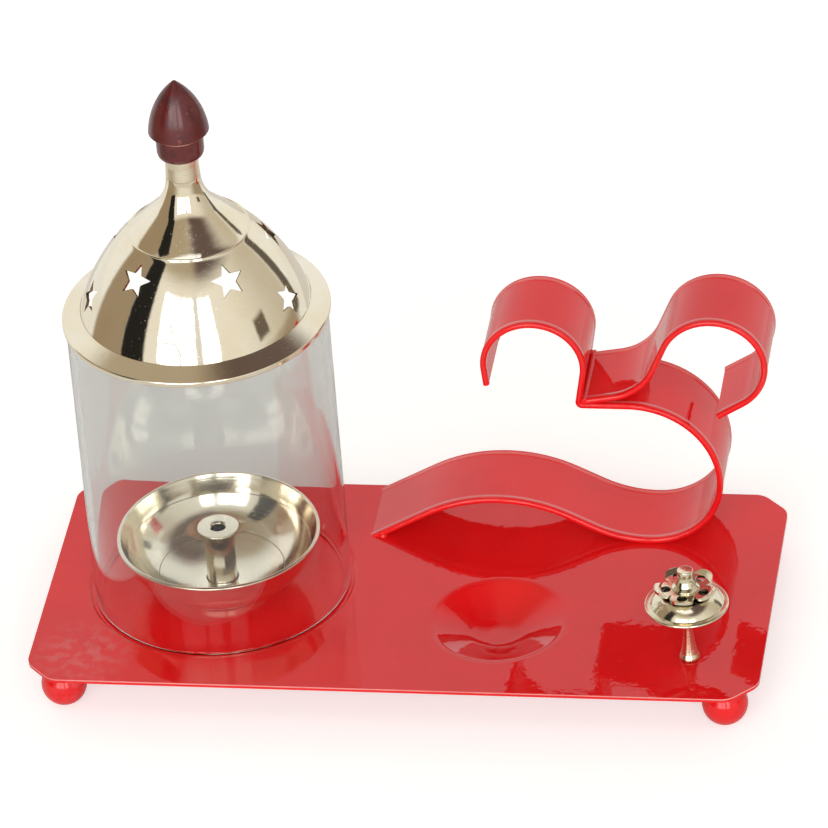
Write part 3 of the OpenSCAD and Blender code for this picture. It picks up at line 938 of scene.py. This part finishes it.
def make_dome():
    """The dome and funnel with a bead between them, pierced with stars."""
    outer = lid_line(0.0)
    inner = [p for p in lid_line(LID_SHEET) if p[1] > BRIM_TOP + 0.1]
    bead = arc((BEAD_RADIUS, BEAD_LEVEL), 0.45, -BEAD_SLOPE + 8, 180 - BEAD_SLOPE - 8, 10)
    outer = [p for p in outer if math.hypot(p[0] - BEAD_RADIUS, p[1] - BEAD_LEVEL) > 0.6]
    cut = next(i for i, p in enumerate(outer) if p[1] > BEAD_LEVEL)
    outer = outer[:cut] + bead + outer[cut:]
    foot = [(outer[0][0] + 0.06, BRIM_TOP), (inner[0][0], BRIM_TOP)]
    top = [(outer[-1][0] - 0.05, NECK_LEVEL), (inner[-1][0], NECK_LEVEL)]
    profile = foot[:1] + outer + top + inner[::-1] + foot[1:] + foot[:1]
    dome = turned("lid_dome_sheet", profile, LAMP, 240)
    stars = star_cutter()
    dress(dome, brass)
    dress(stars, cut_brass)
    cut_away(dome, stars)
    place_piece(dome, "lid", ["lid_dome"], None, 30.0)


def make_neck():
    """The ferrule between the funnel and the knob, with a spigot in the funnel."""
    radius = NECK_RADIUS - 0.2
    spigot = NECK_RADIUS - LID_SHEET - 0.1
    hole = 2.1
    low = NECK_LEVEL - 5
    neck = turned("lid_ferrule", rounded([
        (hole, low), (spigot, low, 0.3), (spigot, NECK_LEVEL + 0.05, 0.05),
        (radius + 0.12, NECK_LEVEL + 0.02, 0.05), (radius + 0.05, NECK_LEVEL + 1.6, 1.0),
        (radius - 0.1, NECK_LEVEL + 4.5, 3), (radius + 0.2, KNOB_LEVEL - 0.5, 0.4),
        (radius + 0.1, KNOB_LEVEL, 0.2), (hole, KNOB_LEVEL), (hole, low)
    ]), LAMP, 96)
    place_piece(neck, "lid", ["lid_neck"], ferrule_brass)


def make_knob():
    """The moulded bud on its collar."""
    rim_level = COLLAR_HEIGHT + 0.9
    start = 5
    lean = math.radians(start)
    tip_radius = 0.9
    bud_middle = (
        BUD_RADIUS - BUD_CURVE * math.cos(lean), rim_level - BUD_CURVE * math.sin(lean)
    )
    bud_end = math.degrees(math.acos((tip_radius - bud_middle[0]) / BUD_CURVE))
    bud = arc(bud_middle, BUD_CURVE, start, bud_end, 40)
    collar = rounded([
        (0, 0.0), (6.5, 0.0, 0.6), (7.3, 0.6, 0.8), (7.6, 1.8, 2.0), (7.65, 7.3, 2.0),
        (7.55, 7.85, 0.1), (7.4, 7.95, 0.05), (7.6, 8.05, 0.05), (9.0, 8.65, 0.5),
        (9.6, 9.05, 0.4), bud[0]
    ])
    crown = bud[-1][1]
    tip = [(0.7, crown + 0.25), (0.4, crown + 0.43), (0, crown + 0.5)]
    profile = [(r, KNOB_LEVEL + z) for r, z in collar + bud[1:] + tip]
    knob = turned("lid_knob_bud", profile, LAMP, 128)
    place_piece(knob, "lid", ["lid_knob"], maroon)


def make_bowl():
    """The oil bowl with two scored lines inside and a foot ring under it."""
    half = BOWL_WALL / 2
    middle_line = bent_line((0, BOWL_BASE, 0), [(5.6, 0), (36, 25), (20.4, 45), (5, 0)], 1.25)
    inside = scored(beside(middle_line, half), (20.8, 30.0), 0.22)
    outside = beside(middle_line, -half)
    rim_in = inside[-1]
    rim_out = outside[-1]
    rim = rounded([
        inside[-2], (rim_in[0], rim_in[1], 0.45), (rim_out[0], rim_out[1], 0.45), outside[-2]
    ])[1:-1]
    under = [p for p in outside[:-1] if p[0] > 17.6]
    ring_out = 16.5
    ring_in = 14.0
    low = SEAT + 0.02
    ring = rounded([
        under[0], (ring_out, BOWL_BASE + 0.95, 0.8), (ring_out, low, 0.5), (ring_in, low, 0.5),
        (ring_in, BOWL_BASE + 0.3, 0.6), (5.6, BOWL_BASE - half), (0, BOWL_BASE - half)
    ])[1:]
    bowl = turned("diya_bowl_turned", inside[:-1] + rim + under[::-1] + ring, LAMP, 192)
    place_piece(bowl, "diya", ["diya_bowl"], bowl_brass)


def make_post():
    """The wick post, flared at its top, with a blind hole for the wick."""
    floor = BOWL_BASE + BOWL_WALL / 2
    top = floor + POST_HEIGHT
    post = turned("wick_post_turned", rounded([
        (0, floor), (5.4, floor, 0), (5.0, floor + 0.5, 0.5), (5.0, top - 9.7, 6.0),
        (5.25, top - 6.1, 8.0), (5.8, top - 3.4, 6.0), (6.9, top - 0.7, 0.2), (6.85, top, 0.3),
        (2.9, top, 0.4), (WICK_RADIUS, top - 0.6, 0.3), (WICK_RADIUS, top - WICK_DEPTH),
        (0, top - WICK_DEPTH)
    ]), LAMP, 96)
    place_piece(post, "diya", ["wick_post"], bowl_brass)


# Incense holder
def round_bar(middle, radius, low, high):
    """An upright round cutter between two heights above the tray."""
    clear_selection()
    bpy.ops.mesh.primitive_cylinder_add(
        vertices=64, radius=radius * MM, depth=(high - low) * MM,
        location=metres(*middle, TRAY_TOP + (low + high) / 2)
    )
    return settle()


def petal_spots():
    """Middles of the five petals, where the stick holes go."""
    spots = []
    for i in range(5):
        bearing = math.radians(PETAL_BEARING + 72 * i)
        spots.append((
            INCENSE[0] + PETAL_MIDDLE * math.cos(bearing),
            INCENSE[1] + PETAL_MIDDLE * math.sin(bearing),
        ))
    return spots


def turned_holder(name, profile, steps):
    """A piece of the incense holder, turned from a profile that is measured from the tray."""
    return turned(name, [(r, TRAY_TOP + z) for r, z in profile], INCENSE, steps)


def spun_sheet(name, line, half, edge, steps):
    """A sheet of the holder spun from a line and half its thickness, closed by a round edge."""
    top = beside(line, half)
    under = beside(line, -half)
    return turned_holder(name, top[:-1] + edge + under[-2::-1] + top[:1], steps)


def make_incense():
    """The stem, the saucer, the flower with its stick holes, and the hub that clamps them."""
    crown = 26.7
    leaf_level = crown + 0.85
    leaf_half = 0.45
    seat = leaf_level + leaf_half
    stem = turned_holder("incense_stem_turned", rounded([
        (0, 0.02), (3.1, 0.02, 0.2), (3.4, 0.4, 0.3), (3.3, 1.1, 0.5), (2.8, 2.4, 2.0),
        (2.35, 4.2, 4.0), (2.0, 6.4, 6.0), (1.7, 8.8, 8.0), (1.5, 11.4, 8.0), (1.5, 17, 6.0),
        (1.9, 21, 6.0), (3.4, crown - 0.4, 0.1), (1.4, crown - 0.4, 0.1), (1.4, 31.5), (0, 31.5)
    ]), 64)
    place_piece(stem, "stand", ["incense_stem"], cast)

    line = bent_line((1.5, crown, 0), [(1.9, 0), (9.5, -58), (0.8, 46), (1.2, 0)], 3.0)
    edge = arc(line[-1][:2], 0.5, 75, -100, 8)
    saucer = spun_sheet("incense_saucer_spun", line, 0.4, edge, 128)
    leaf = bent_line((1.5, leaf_level, 0), [(6.3, 0), (2.6, 35), (1, 0)], 4.0)
    lip = arc(leaf[-1][:2], leaf_half, 125, -55, 6)
    flower = spun_sheet("incense_flower_cast", leaf, leaf_half, lip, 160)
    plan = round_bar(INCENSE, 4.8, 24, 33)
    for spot in petal_spots():
        cut_away(plan, round_bar(spot, PETAL_RADIUS, 24, 33), "UNION")
    cut_away(flower, plan, "INTERSECT")
    for spot in petal_spots():
        cut_away(flower, round_bar(spot, STICK_RADIUS, 23, 34))
    # The saucer takes the brass with black painted shade under the flower.
    place_piece(saucer, "stand", ["incense_saucer"], shade_painted_cast)
    place_piece(flower, "stand", ["incense_flower"], cast)

    hub = turned_holder("incense_hub_nut", rounded([
        (1.45, seat), (4.5, seat, 0.1), (4.5, seat + 0.5, 0.25), (3.4, seat + 1.5, 0.8),
        (2.7, seat + 3.2, 2.0), (2.4, seat + 4.6, 0.8), (2.6, seat + 5.0, 0.2),
        (2.6, seat + 6.9, 0.3), (0, seat + 6.9)
    ]), 64)
    place_piece(hub, "stand", ["incense_hub"], cast)


# Fasteners
def make_screw(name, axis, body, node, low, high, head, shank, end):
    """A pan head between two levels with a driver slot, on a plain shank up to its end."""
    screw = turned(name, rounded([
        (0, low - 0.02), (head * 0.6, low, 0.8), (head, low + 0.7, 0.6), (head, high, 0.15),
        (shank, high, 0.1), (shank, end - 0.5, 0.2), (shank - 0.4, end, 0.1), (0, end)
    ]), axis, 64)
    clear_selection()
    bpy.ops.mesh.primitive_cube_add(size=1, location=metres(*axis, low))
    slot = bpy.context.object
    slot.scale = metres(2.4 * head, 0.32 * head, 1.4)
    cut_away(screw, settle())
    place_piece(screw, body, [node], steel)


def make_washer(name, axis, body, node, low, high, inner, outer):
    """A flat ring between two levels."""
    washer = turned(name, rounded([
        (inner, low, 0.12), (outer, low, 0.2), (outer, high, 0.2), (inner, high, 0.12)
    ], closed=True), axis, 64)
    place_piece(washer, body, [node], steel)


make_tray()
make_feet()
make_om()
make_glass()
make_brim()
make_dome()
make_neck()
make_knob()
make_bowl()
make_post()
make_incense()
level = TRAY_UNDER - 0.6
make_screw(
    "holder_screw", INCENSE, "stand", "incense_screw",
    low=level - 1.6, high=level, head=2.5, shank=1.2, end=TRAY_TOP + 5
)
make_washer(
    "holder_washer", INCENSE, "stand", "incense_washer",
    low=level, high=TRAY_UNDER, inner=1.3, outer=3.5
)
level = NECK_LEVEL - 5.8
make_screw(
    "bud_screw", LAMP, "lid", "knob_screw",
    low=level - 2.4, high=level, head=3.6, shank=2.0, end=KNOB_LEVEL + 9.5
)
make_washer(
    "bud_washer", LAMP, "lid", "knob_washer",
    low=level, high=level + 0.8, inner=2.1, outer=4.3
)
for node in ("om_end_weld", "om_loop_weld", "om_cusp_weld"):
    dress(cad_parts[node], enamel)
dress(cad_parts["knob_insert"], brass)


# Floor, light and camera
def seen_through_glass(tree):
    """The kinds of ray, and a mask that is one where the camera looks through clear glass alone."""
    rays = add_node(tree, "ShaderNodeLightPath").outputs
    through = rays["Is Transmission Ray"]
    for depth in ("Glossy Depth", "Diffuse Depth"):
        through = times(tree, through, maths(tree, "LESS_THAN", rays[depth], 0.5))
    return rays, through


def make_floor():
    """A pale sheet that meets the camera as white, and keeps the object's shadow."""
    clear_selection()
    bpy.ops.mesh.primitive_plane_add(size=1, location=(-0.04, 0.54, 0))
    floor = bpy.context.object
    floor.name = "floor"
    floor.scale = (0.58, 1.92, 1)
    settle()
    material, tree, surface, place = new_material("pale_floor")
    surface["Base Color"].default_value = (0.74, 0.74, 0.73, 1)
    surface["Roughness"].default_value = 0.9
    surface["Specular IOR Level"].default_value = 0.0
    rays, through = seen_through_glass(tree)
    near = maths(tree, "LESS_THAN", rays["Transmission Depth"], 2.5)
    one_wall = times(tree, through, near)
    lift = times(tree, maths(tree, "MAXIMUM", rays["Is Camera Ray"], one_wall), 0.55)
    lift = plus(tree, lift, times(tree, rays["Is Glossy Ray"], 0.15))
    surface["Emission Color"].default_value = (1, 1, 1, 1)
    tree.links.new(lift, surface["Emission Strength"])
    dress(floor, material)


# Bearing of the camera from the object, in degrees
CAMERA_BEARING = -79.3

# Each panel of the room: bearing and height of its middle, half width, half height and soft
# edge in degrees, then its colour. Bearings are measured from the camera's own.
ROOM_PANELS = [
    ("left wall", -96, 14, 20, 34, 3, (0.37, 0.29, 0.20)),
    ("dark curtain", -65, 24, 12, 30, 1.5, (0.02, 0.019, 0.019)),
    ("skylight", -18, 69, 48, 8, 2, (1.3, 1.3, 1.36)),
    ("window wall", -10, 20, 31, 19, 2, (0.80, 0.80, 0.82)),
    ("left pane", -29, 20, 10.5, 18, 0.8, (4.0, 4.0, 4.0)),
    ("middle pane", -9.5, 20, 6.8, 18, 0.8, (4.0, 4.0, 4.0)),
    ("right pane", 12, 20, 8, 18, 0.8, (4.0, 4.0, 4.0)),
    ("dark frame", 67, 8, 7, 5.5, 1.5, (0.16, 0.13, 0.10)),
    ("door edge", 118, 8, 5, 18, 1.5, (0.14, 0.12, 0.10)),
]


def make_soft_panel():
    """A soft-edged rectangle of the room, by bearing and height."""
    sizes = [
        "Bearing", "Height", "Middle bearing", "Middle height", "Half width", "Half height", "Edge"
    ]
    tree, given, result = new_group("soft_panel", [(label, "Float") for label in sizes], ["Mask"])
    sides = []
    for way, half in (("bearing", "Half width"), ("height", "Half height")):
        away = maths(tree, "SUBTRACT", given[way.capitalize()], given["Middle " + way])
        away = maths(tree, "ABSOLUTE", away)
        inner = maths(tree, "SUBTRACT", given[half], given["Edge"])
        outer = plus(tree, given[half], given["Edge"])
        sides.append(spread(tree, away, inner, outer, 1.0, 0.0))
    tree.links.new(times(tree, sides[0], sides[1]), result["Mask"])
    return tree


def make_room():
    """A plain room: white behind the object, a warm wall and a window on the camera's side."""
    world = bpy.data.worlds.new("room")
    bpy.context.scene.world = world
    world.use_nodes = True
    tree = world.node_tree
    tree.nodes.clear()
    panel = make_soft_panel()
    way = add_node(tree, "ShaderNodeTexCoord").outputs["Generated"]
    turn = (0, 0, math.radians(-CAMERA_BEARING))
    faced = add_node(tree, "ShaderNodeMapping", {"Vector": way, "Rotation": turn}).outputs[0]
    parts = add_node(tree, "ShaderNodeSeparateXYZ", {0: faced}).outputs
    bearing = maths(tree, "DEGREES", maths(tree, "ARCTAN2", parts[1], parts[0]))
    height = maths(tree, "DEGREES", maths(tree, "ARCSINE", parts[2]))
    side = spread(tree, bearing, 35, 100)
    wall = blend_colours(tree, side, (0.92, 0.89, 0.83, 1), (0.62, 0.565, 0.475, 1))
    behind = spread(tree, maths(tree, "ABSOLUTE", bearing), 108, 118)
    wall = blend_colours(tree, behind, wall, (0.96, 0.96, 0.95, 1))
    table = spread(tree, maths(tree, "ABSOLUTE", bearing), 20, 70)
    table = blend_colours(tree, table, (0.90, 0.90, 0.87, 1), (0.38, 0.31, 0.22, 1))
    table = blend_colours(tree, behind, table, (0.90, 0.90, 0.89, 1))
    room = blend_colours(tree, spread(tree, height, -6, 0), table, wall)
    ceiling = spread(tree, parts[1], -0.08, 0.18)
    ceiling = blend_colours(tree, ceiling, (0.46, 0.39, 0.29, 1), (0.14, 0.10, 0.09, 1))
    room = blend_colours(tree, spread(tree, height, 40, 54), room, ceiling)
    for label, across, up, half_width, half_height, edge, colour in ROOM_PANELS:
        mask = place_group(
            tree, panel, bearing=bearing, height=height, middle_bearing=across, middle_height=up,
            half_width=half_width, half_height=half_height, edge=edge
        )["Mask"]
        room = blend_colours(tree, mask, room, colour + (1,))
    rays, through = seen_through_glass(tree)
    seen = maths(tree, "MAXIMUM", rays["Is Camera Ray"], through)
    lit = add_node(tree, "ShaderNodeBackground", {"Color": room}).outputs[0]
    white = add_node(tree, "ShaderNodeBackground", {"Color": (1, 1, 1, 1)}).outputs[0]
    both = add_node(tree, "ShaderNodeMixShader", {0: seen, 1: lit, 2: white}).outputs[0]
    add_node(tree, "ShaderNodeOutputWorld", {"Surface": both})


def make_camera():
    """A long lens far from the object, fitted to the photograph."""
    right = Vector((0.98825, 0.13776, -0.06606))
    up = Vector((-0.02414, 0.56773, 0.82286))
    back = Vector((0.15086, -0.81161, 0.56439))
    place = metres(373.55, -1978.9, 1445.06 + TRAY_TOP)
    camera_data = bpy.data.cameras.new("photo_camera")
    camera = bpy.data.objects.new("photo_camera", camera_data)
    bpy.context.collection.objects.link(camera)
    camera.matrix_world = Matrix((
        (right.x, up.x, back.x, place[0]),
        (right.y, up.y, back.y, place[1]),
        (right.z, up.z, back.z, place[2]),
        (0, 0, 0, 1),
    ))
    camera_data.sensor_width = 36.0
    camera_data.lens = 327.3
    camera_data.clip_end = 100.0
    bpy.context.scene.camera = camera


make_floor()
make_room()
make_camera()
bpy.context.scene.view_settings.view_transform = "Standard"
